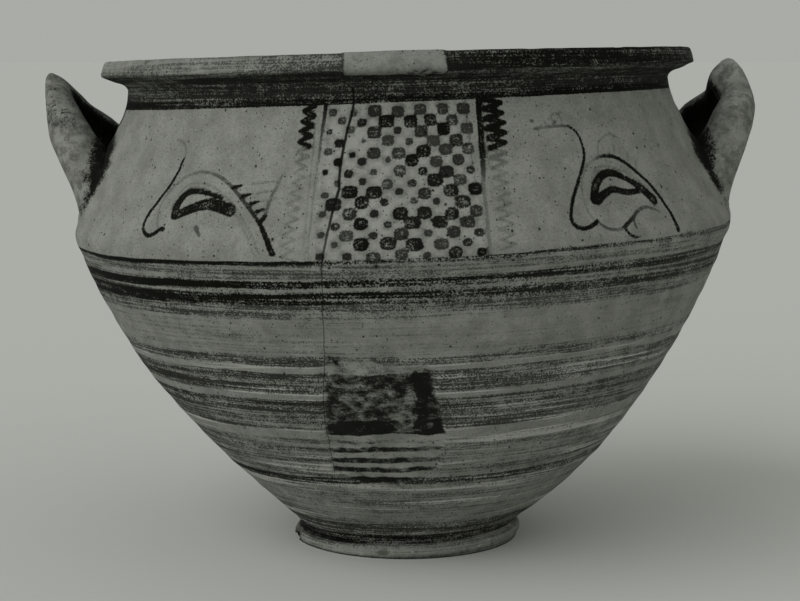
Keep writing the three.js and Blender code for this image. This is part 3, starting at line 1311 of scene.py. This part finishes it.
class NodePad:
    """Lays out a material's nodes, one call a step."""

    def __init__(self, material: bpy.types.Material) -> None:
        """Starts from the material's own shader."""
        self.tree = material.node_tree
        self.shader = self.tree.nodes["Principled BSDF"]

    def node(self, kind: str, inputs: dict[str | int, object], **settings: object) -> bpy.types.Node:
        """One node.

        Args:
            kind: Blender's name for it, without the ShaderNode in front.
            inputs: What goes into its sockets: a wire, or a value.
            settings: Its own settings.

        Returns:
            The node.
        """
        made = self.tree.nodes.new("ShaderNode" + kind)
        for name, value in settings.items():
            setattr(made, name, value)
        for name, value in inputs.items():
            self.feed(made.inputs[name], value)
        return made

    def feed(self, socket: Socket, value: object) -> None:
        """Joins a socket to a wire, or sets its value.

        Args:
            socket: The socket.
            value: What goes into it.
        """
        if isinstance(value, Wire):
            self.tree.links.new(value.socket, socket)
        else:
            socket.default_value = value

    def wire(self, node: bpy.types.Node, output: str | int = 0) -> Wire:
        """One of a node's outputs."""
        return Wire(self, node.outputs[output])

    def sum(self, how: str, a: object, b: object = 0.0, c: object = 0.0) -> Wire:
        """One step of arithmetic, such as MULTIPLY."""
        return self.wire(self.node("Math", {0: a, 1: b, 2: c}, operation=how))

    def grain(self, place: Wire, scale: float, detail: float, rough: float) -> Wire:
        """Noise from 0 to 1, about 0.5."""
        inputs = {"Vector": place, "Scale": scale, "Detail": detail, "Roughness": rough}
        return self.wire(self.node("TexNoise", inputs, noise_dimensions="3D"))

    def mark(self, name: str, output: str = "Fac") -> Wire:
        """A value kept on the vertices."""
        return self.wire(self.node("Attribute", {}, attribute_name=name, attribute_type="GEOMETRY"), output)

    def blend(self, share: Wire, a: "Wire | Colour", b: "Wire | Colour") -> Wire:
        """A colour between two."""
        return self.wire(self.node("Mix", {0: share, 6: a, 7: b}, data_type="RGBA", blend_type="MIX"), 2)


@dataclass(frozen=True)
class Bands:
    """Painted bands, as the height where each begins and how dark it is up to the next."""

    steps: tuple[tuple[float, float], ...]
    soft: float = 0.35

    def ramp(self, pad: NodePad, level: Wire) -> Wire:
        """The darkness of the bands at a height.

        Args:
            pad: Where the nodes are laid.
            level: Height in millimetres.

        Returns:
            The darkness, from 0 to 1.
        """
        low, high = self.steps[0][0], self.steps[-1][0]
        share = pad.wire(pad.node("MapRange", {"Value": level, "From Min": low, "From Max": high}))
        made = pad.node("ValToRGB", {0: share})
        stops = made.color_ramp.elements
        places: list[tuple[float, float]] = []
        for (start, ink), before in zip(self.steps[:-1], (None, *self.steps), strict=False):
            if before is not None:
                places.append((start - self.soft, before[1]))
            places.append((start + self.soft, ink))
        for i, (start, ink) in enumerate(places):
            stop = stops[i] if i < 2 else stops.new(1)
            stop.position = min(max((start - low) / (high - low), 0), 1)
            stop.color = (ink, ink, ink, 1)
        return pad.wire(made, "Color")


LOW_BANDS = Bands(
    (
        (0, 0.3), (5.8, 0.5), (7, 0.95), (12.4, 0.7), (21, 0.26), (24.5, 0.38),
        (36.4, 0.04), (40.4, 0.4), (48.6, 0.85), (52.4, 0.02), (55.6, 0.5), (58.8, 0.02),
        (61.4, 0.55), (64.6, 0.02), (67.6, 0.6), (70.8, 0.03), (90, 0),
    )
)
HIGH_BANDS = Bands(
    (
        (72.6, 0.4), (76, 0.05), (81, 0.62), (92.6, 0.76), (98.2, 0.2), (101.6, 0.68),
        (113.4, 0.05), (116.4, 0.62), (122, 0.27), (141.6, 0.56), (148.6, 0.95), (154.8, 0.5),
        (156.8, 1.0), (160.6, 0.46), (168.2, 1.0), (170.2, 0.0), (264, 0),
    )
)
PATCH_BANDS = Bands(
    (
        (44, 0.1), (48.6, 1.1), (52.4, 0.0), (55.6, 1.1), (58.6, 0.0), (61.4, 1.1),
        (64.6, 0.0), (67.8, 1.1), (70.6, 0.0), (72.8, 0.5), (74.6, 0.05), (78, 1.35),
        (86, 0.8), (99, 0.85), (112, 0.2), (121, 0.35), (130, 0),
    )
)


@dataclass(frozen=True)
class ClayPlaces:
    """The places and grains that the clay's finish is worked out from."""

    pad: NodePad
    upright: Wire
    right: Wire
    height: Wire
    level: Wire
    around: Wire
    unrolled: Wire
    fine: Wire
    speckle: Wire
    patchy: Wire
    slow: Wire
    blotch: Wire

    def mark(self, name: str) -> Wire:
        """A value kept on the vertices."""
        return self.pad.mark(name)

    def grain(self, scale: float, detail: float, rough: float) -> Wire:
        """Noise of the clay itself."""
        return self.pad.grain(self.upright, scale, detail, rough)

    def streaks(self, level: float, up: float, detail: float, rough: float) -> Wire:
        """Noise drawn out into streaks that run round the jar.

        Args:
            level: Its scale on the level.
            up: Its scale upward.
            detail: How many finer layers it has.
            rough: How strong they are.

        Returns:
            Values from 0 to 1, about 0.5.
        """
        inputs = {0: self.upright, 1: (level, level, up)}
        place = self.pad.wire(self.pad.node("VectorMath", inputs, operation="MULTIPLY"))
        return self.pad.grain(place, 1.0, detail, rough)

    def shoulder(self) -> Wire:
        """1 on the painted shoulder between the belly's line and the neck, 0 elsewhere."""
        return self.level.eased(170, 171) * self.level.eased(241, 240)

    def unpainted(self) -> Wire:
        """1 on the handles and inside, where there are no bands and no pits."""
        return self.mark("loop") | self.mark("inside")


@dataclass(frozen=True)
class PaintedClay:
    """Grey fired clay with worn dark paint, dirt, pits and the marks of old repairs, with painted shade at
    the handles and along the foot.
    """

    pale: Colour = (0.262, 0.27, 0.245, 1)
    dull: Colour = (0.178, 0.184, 0.164, 1)
    # The dark paint's colour, also laid as painted shade in the handles and along the foot.
    paint: Colour = (0.004, 0.0043, 0.0028, 1)
    crust: Colour = (0.42, 0.428, 0.395, 1)
    plaster: Colour = (0.235, 0.242, 0.222, 1)
    raw: Colour = (0.09, 0.092, 0.08, 1)
    tilt: float = JarBody.paint_tilt
    girth: float = JarBody.zone_radius
    back_line: float = 440
    back_pitch: float = 7
    handle_break: float = 233

    def material(self) -> bpy.types.Material:
        """Makes the finish.

        Returns:
            The material.
        """
        made = bpy.data.materials.new("painted_clay")
        made.use_nodes = True
        pad = NodePad(made)
        at = self.places(pad)
        ink, pits = self.ink(at), self.pits(at)
        # The paint's cover here includes painted shade in the handles' corners and eyes.
        colour = self.damaged(at, pad.blend(ink, self.clay(at), self.paint))
        colour = pad.blend(pits * 0.9, colour, self.paint)
        low = 1 - at.level.eased(20, 110)
        crust = at.grain(0.3, 5, 0.75).eased(0.62, 0.7) * (low * 0.5 + 0.16)
        height = at.fine * 0.6 + at.patchy * 0.6 - pits * 1.3
        bump = pad.node("Bump", {"Height": height, "Strength": 0.6, "Distance": 0.0007})
        inputs = {
            "Base Color": pad.blend(crust, colour, self.crust),
            "Roughness": at.fine * 0.12 - ink * 0.1 + 0.8,
            "Specular IOR Level": 0.05,
            "Normal": pad.wire(bump),
        }
        for name, value in inputs.items():
            pad.feed(pad.shader.inputs[name], value)
        return made

    def places(self, pad: NodePad) -> ClayPlaces:
        """Lays the nodes that everything else in the finish starts from.

        Args:
            pad: Where the nodes are laid.

        Returns:
            The places and grains of the clay.
        """
        upright = pad.mark("upright", "Vector")
        split = pad.node("SeparateXYZ", {0: upright})
        x, y, z = (pad.wire(split, i) for i in range(3))
        level = z - x * self.tilt
        around = pad.sum("ARCTAN2", x, y * -1.0) * self.girth
        return ClayPlaces(
            pad=pad,
            upright=upright,
            right=x,
            height=z,
            level=level,
            around=around,
            unrolled=pad.wire(pad.node("CombineXYZ", {0: around, 1: level})),
            fine=pad.grain(upright, 0.9, 3, 0.65),
            speckle=pad.grain(upright, 1.15, 3, 0.6).eased(0.36, 0.64),
            patchy=pad.grain(upright, 0.075, 4, 0.55),
            slow=pad.grain(upright, 0.02, 3, 0.5),
            blotch=pad.grain(upright, 0.16, 5, 0.7),
        )

    def clay(self, at: ClayPlaces) -> Wire:
        """The bare clay's colour, with dirt, dust and the paler places between the painted ones.

        Args:
            at: The places and grains of the clay.

        Returns:
            The colour.
        """
        pad = at.pad
        mixed = at.speckle * 0.42 + at.patchy * 1.6 - 0.5
        clay = pad.blend(mixed.eased(0.1, 0.95), self.dull, self.pale)
        dirt = (at.mark("loop") * 0.75 + 0.1) * at.blotch.eased(0.38, 0.64)
        dust = at.grain(0.5, 3, 0.6).eased(0.56, 0.7) * 0.3
        clay = pad.blend(dirt | dust, clay, self.raw)
        clay = pad.blend(self.grit(at), clay, self.paint)
        return pad.blend(self.bare_lines(at) * 0.8 | self.panel(at), clay, self.crust)

    def ink(self, at: ClayPlaces) -> Wire:
        """How much dark paint lies on the clay, from 0 to 1: bands, strokes and smears at the handles, with
        painted shade in their corners and eyes.

        Args:
            at: The places and grains of the clay.

        Returns:
            The cover of paint and painted shade.
        """
        bands = self.bands(at)
        broad = at.streaks(0.009, 0.3, 4, 0.6).eased(0.3, 0.7)
        thin = at.streaks(0.014, 1.0, 4, 0.65).eased(0.32, 0.68)
        neck = at.level.eased(239, 242)
        streaks = (broad * 0.5 + thin * 0.62 - 0.56) * (neck * -0.35 + 1.0)
        spots = (at.speckle * 0.62 + at.blotch * 1.1 - 0.86) * (neck * -0.2 + 1.0)
        amount = bands.eased(0, 0.6) * 0.85 + 0.3
        swept = ((spots + streaks) * amount + bands).eased(0.28, 0.84)
        cover = swept * (bands * 0.5 + 0.52)
        edge = at.fine * 1.5 + at.mark("stroke_edge") - 0.8
        left = at.mark("stroke_ink")
        wear = at.speckle * 0.7 + at.blotch * 2.0 - 1.28 - edge.eased(-0.5, -2.0) * 0.2
        kept = (left * 0.95 + wear).eased(0.1, 0.75)
        strokes = (1 - edge.eased(-0.4, 0.3)) * left * (kept * 0.72 + 0.3)
        halo = self.panel(at) * edge.eased(2.2, 0.3) * (at.blotch * 5.0 - 1.7)
        crumbs = at.speckle * 0.4 + at.blotch * 1.4 - 1.16
        # Paint smeared at the handle roots, with painted shade in the handles' corners and eyes, broken up by
        # crumbs.
        smear_and_shade = ((at.mark("smear_and_shade") | at.mark("eye_shade")) + crumbs).eased(0, 0.5)
        return cover | strokes | halo | smear_and_shade * 0.98

    def grit(self, at: ClayPlaces) -> Wire:
        """Dirt caught along an old break across the left handle, and in specks up to its crown.

        Args:
            at: The places and grains of the clay.

        Returns:
            The dirt's cover, from 0 to 1.
        """
        seam = abs(at.blotch * 12.0 + at.height - self.handle_break - 6.0).eased(2.8, 0.8)
        specks = at.grain(0.4, 3, 0.7).eased(0.56, 0.62) * at.height.eased(230, 236)
        left = at.mark("loop") * at.right.eased(-165, -172)
        return (seam * at.speckle | specks) * left * 0.9

    def bare_lines(self, at: ClayPlaces) -> Wire:
        """Where the wheel left clean pale lines between the lower bands.

        Args:
            at: The places and grains of the clay.

        Returns:
            How bare the clay is, from 0 to 1.
        """
        thin = at.streaks(0.008, 0.34, 3, 0.6).eased(0.54, 0.61)
        low = at.level.eased(10, 16) * (1 - at.level.eased(112, 124))
        return thin * low * (1 - at.mark("inside"))

    def panel(self, at: ClayPlaces) -> Wire:
        """How much paler the clay is between the squares of the chequered panel."""
        aside = abs(at.around + 1.0).eased(37.6, 36.6)
        return aside * at.shoulder() * (at.mark("inside") * -0.3 + 0.3)

    def back_lines(self, at: ClayPlaces) -> Wire:
        """Plain upright lines that frame the undecorated back of the shoulder.

        Args:
            at: The places and grains of the clay.

        Returns:
            The lines' strength, from 0 to 1.
        """
        off = abs(at.around) - self.back_line
        near = abs(at.pad.sum("WRAP", off, self.back_pitch / 2, -self.back_pitch / 2))
        line = (at.fine * 1.6 + near).eased(2.0, 1.3)
        group = abs(off).eased(self.back_pitch * 1.5, self.back_pitch * 1.45)
        return line * group * at.shoulder() * at.patchy.eased(0.32, 0.55)

    def bands(self, at: ClayPlaces) -> Wire:
        """How strongly the bands were painted, before wear: round the body, the neck and the lip.

        Args:
            at: The places and grains of the clay.

        Returns:
            The bands' strength, from 0 to about 1.
        """
        line = at.level + at.slow * 3.6 - 1.8
        body = LOW_BANDS.ramp(at.pad, line) | HIGH_BANDS.ramp(at.pad, line)
        body = body * (at.right * -0.0013 + 0.98)
        above = at.fine * 1.2 + at.level
        painted = above.eased(240.6, 241.4)
        neck = (above.eased(246, 243) * 0.2 + 0.84) * painted
        lip = at.right.eased(-100, 60) * 0.52 + 0.44
        share = (at.fine * 1.6 + at.height).eased(255.6, 257.8)
        top = (neck + (lip - neck) * share) * painted
        return (body | self.back_lines(at) | top) * (1 - at.unpainted())

    def damaged(self, at: ClayPlaces, colour: Wire) -> Wire:
        """The colour with the mended patch, the filled rim, the broken foot, the crack, and a painted contact
        shadow along the foot's bottom edge.

        Args:
            at: The places and grains of the clay.
            colour: The painted clay.

        Returns:
            The colour with the old damage.
        """
        pad = at.pad
        edge = at.blotch * 10.0 + at.mark("patch") - 4.8
        colour = pad.blend(1 - edge.eased(-2.2, 1.2), colour, self.patch(at))
        jagged = at.around.eased(-20, 10) * 8.0 + 1.5
        ragged = (at.blotch - 0.5) * jagged + at.mark("rim_fill")
        spots = at.speckle * 0.25 + at.blotch.eased(0.42, 0.65) * 0.4
        soiled = pad.blend(spots, self.plaster, self.raw)
        colour = pad.blend(1 - ragged.eased(-0.4, 0.4), colour, soiled)
        seam = 1 - abs(ragged).eased(0.2, 1.0)
        colour = pad.blend(seam * 0.6, colour, self.paint)
        colour = pad.blend(at.mark("broken"), colour, self.raw)
        upper = at.level.eased(150, 200)
        gap = abs(at.patchy * 2.0 + at.mark("crack") - 1.0) / (upper * 0.42 + 0.3)
        crack = (1 - gap.eased(0.6, 1.4)) * (upper * 0.35 + 0.6)
        colour = pad.blend(crack, colour, self.paint)
        # Painted contact shadow: a dark line in the paint's colour along the foot's bottom edge, where it
        # meets the table.
        place = pad.wire(pad.node("TexCoord", {}), "Object")
        above = pad.wire(pad.node("SeparateXYZ", {0: place}), 2)
        contact_shadow = (at.fine * 0.0012 + above).eased(0.0024, 0.0008)
        return pad.blend(contact_shadow * 0.85, colour, self.paint)

    def patch(self, at: ClayPlaces) -> Wire:
        """The mended patch's own colour: rough and blotted above, with hard stripes below.

        Args:
            at: The places and grains of the clay.

        Returns:
            The colour.
        """
        stripes = PATCH_BANDS.ramp(at.pad, at.patchy * 3.6 + at.level - 1.8)
        across = at.blotch * 26.0 + at.around - 13.0
        up = at.blotch * 16.0 + at.level - 8.0
        fading = across.eased(-24, 18) * at.level.eased(76, 72)
        smudge = across.eased(2, 8) * across.eased(18, 12) * up.eased(80, 90)
        corner = across.eased(-24, -34) * up.eased(116, 121)
        lost = across.eased(-14, -6) * across.eased(5, -2) * up.eased(75, 79) * up.eased(91, 86)
        strength = stripes - fading * 0.42 + smudge * 0.4 - lost * 0.75 + corner * 0.6
        cloudy = at.streaks(0.16, 0.28, 4, 0.6)
        mottle = cloudy * 3.4 + at.blotch * 1.6 + at.speckle * 0.4 - 2.7
        dark = (mottle * 0.8 + strength).eased(0, 1.15)
        light = at.pad.blend(at.patchy.eased(0.35, 0.6), self.dull, self.pale)
        return at.pad.blend(dark * 0.97, light, self.paint)

    def pits(self, at: ClayPlaces) -> Wire:
        """Small dark pits scattered over the thrown clay, a few of them larger.

        Args:
            at: The places and grains of the clay.

        Returns:
            1 in the pits and 0 elsewhere.
        """
        small = self.dots(at, scale=0.36, least=0.07, most=0.15, share=0.3)
        large = self.dots(at, scale=0.15, least=0.03, most=0.11, share=0.5)
        return (small | large) * (1 - at.unpainted())

    def dots(self, at: ClayPlaces, scale: float, least: float, most: float, share: float) -> Wire:
        """Scattered dots.

        Args:
            at: The places and grains of the clay.
            scale: Cells a millimetre.
            least: Radius of the smallest dots, in cells.
            most: Radius of the largest, in cells.
            share: Share of the cells that have a dot.

        Returns:
            1 in the dots and 0 elsewhere.
        """
        pad = at.pad
        inputs = {"Vector": at.unrolled, "Scale": scale, "Randomness": 1.0}
        cells = pad.node("TexVoronoi", inputs, feature="F1", voronoi_dimensions="2D")
        picked = pad.node("SeparateColor", {0: pad.wire(cells, "Color")})
        chance = pad.sum("LESS_THAN", pad.wire(picked), share)
        size = pad.sum("POWER", pad.wire(picked, 1), 3.0) * (most - least) + least
        near = pad.wire(cells, "Distance") * (at.fine * 1.4 + 0.3) / size
        return (1 - near.eased(0.5, 1.2)) * chance


@dataclass(frozen=True)
class Studio:
    """The pale table, the soft light and the camera at the photograph's place."""

    foot_centre: tuple[float, float] = (0.0036, -0.0016)
    distance: float = 1.0526
    eye_height: float = 0.2666
    pitch: float = math.radians(7.415)
    lens: float = 86.79
    sensor: float = 36
    shift: float = -0.00704
    table: Colour = (0.6, 0.608, 0.585, 1)
    air: Colour = (0.402, 0.41, 0.384, 1)
    key_from: Place = (-2.25, -1.6, 1.45)
    key_strength: float = 1.7
    fill_from: Place = (1.9, -2.0, 0.5)
    fill_strength: float = 0.28
    softness: float = math.radians(75)

    def build(self) -> list[bpy.types.Object]:
        """Makes the floor, the lights and the camera.

        Returns:
            What was made, none of it part of the jar.
        """
        made = [self.floor(), *self.lights()]
        self.camera()
        return made

    def floor(self) -> bpy.types.Object:
        """A wide plain pale floor.

        Returns:
            The floor.
        """
        reach = 40.0
        mesh = bpy.data.meshes.new("floor")
        corners = [(-reach, -reach, 0), (reach, -reach, 0), (reach, reach, 0), (-reach, reach, 0)]
        mesh.from_pydata(corners, [], [(0, 1, 2, 3)])
        finish = bpy.data.materials.new("pale_table")
        finish.use_nodes = True
        shader = finish.node_tree.nodes["Principled BSDF"]
        shader.inputs["Base Color"].default_value = self.table
        shader.inputs["Roughness"].default_value = 0.9
        shader.inputs["Specular IOR Level"].default_value = 0.1
        mesh.materials.append(finish)
        return linked("floor", mesh)

    def lights(self) -> list[bpy.types.Object]:
        """Soft light from the left front, a weak one from the right, and even light from all round.

        Returns:
            The two lamps.
        """
        world = bpy.data.worlds.new("studio_air")
        world.use_nodes = True
        air = world.node_tree.nodes["Background"]
        air.inputs["Color"].default_value = self.air
        air.inputs["Strength"].default_value = 1.0
        bpy.context.scene.world = world
        key = self.lamp("key", self.key_from, self.key_strength)
        return [key, self.lamp("fill", self.fill_from, self.fill_strength)]

    def lamp(self, name: str, place: Place, strength: float) -> bpy.types.Object:
        """One broad soft light that shines from a place towards the jar.

        Args:
            name: Its name.
            place: Where it shines from.
            strength: How strong it is.

        Returns:
            The light.
        """
        data = bpy.data.lights.new(name, "SUN")
        data.angle, data.energy = self.softness, strength
        made = linked(name, data)
        made.location = place
        made.rotation_euler = (-made.location).to_track_quat("-Z", "Y").to_euler()
        return made

    def camera(self) -> None:
        """The photograph's camera, level with the rim and tipped a little down."""
        data = bpy.data.cameras.new("camera")
        data.lens, data.sensor_width, data.shift_x = self.lens, self.sensor, self.shift
        data.clip_start, data.clip_end = 0.05, 200
        camera = linked("camera", data)
        x, y = self.foot_centre
        camera.location = (x, y - self.distance, self.eye_height)
        camera.rotation_euler = (math.pi / 2 - self.pitch, 0, 0)
        bpy.context.scene.camera = camera
        bpy.context.scene.view_settings.view_transform = "Standard"


def main() -> None:
    """Builds the jar and its surroundings."""
    logging.basicConfig(level=logging.INFO, format="%(name)s: %(message)s")
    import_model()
    jar = JarBody().build()
    jar.data.materials.clear()
    jar.data.materials.append(PaintedClay().material())
    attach(jar, BODY)
    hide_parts(NODE)
    LOG.info("%s: %d vertices, %d faces", jar.name, len(jar.data.vertices), len(jar.data.polygons))
    for piece in Studio().build():
        LOG.info("%s is stage", piece.name)


if __name__ == "__main__":
    main()
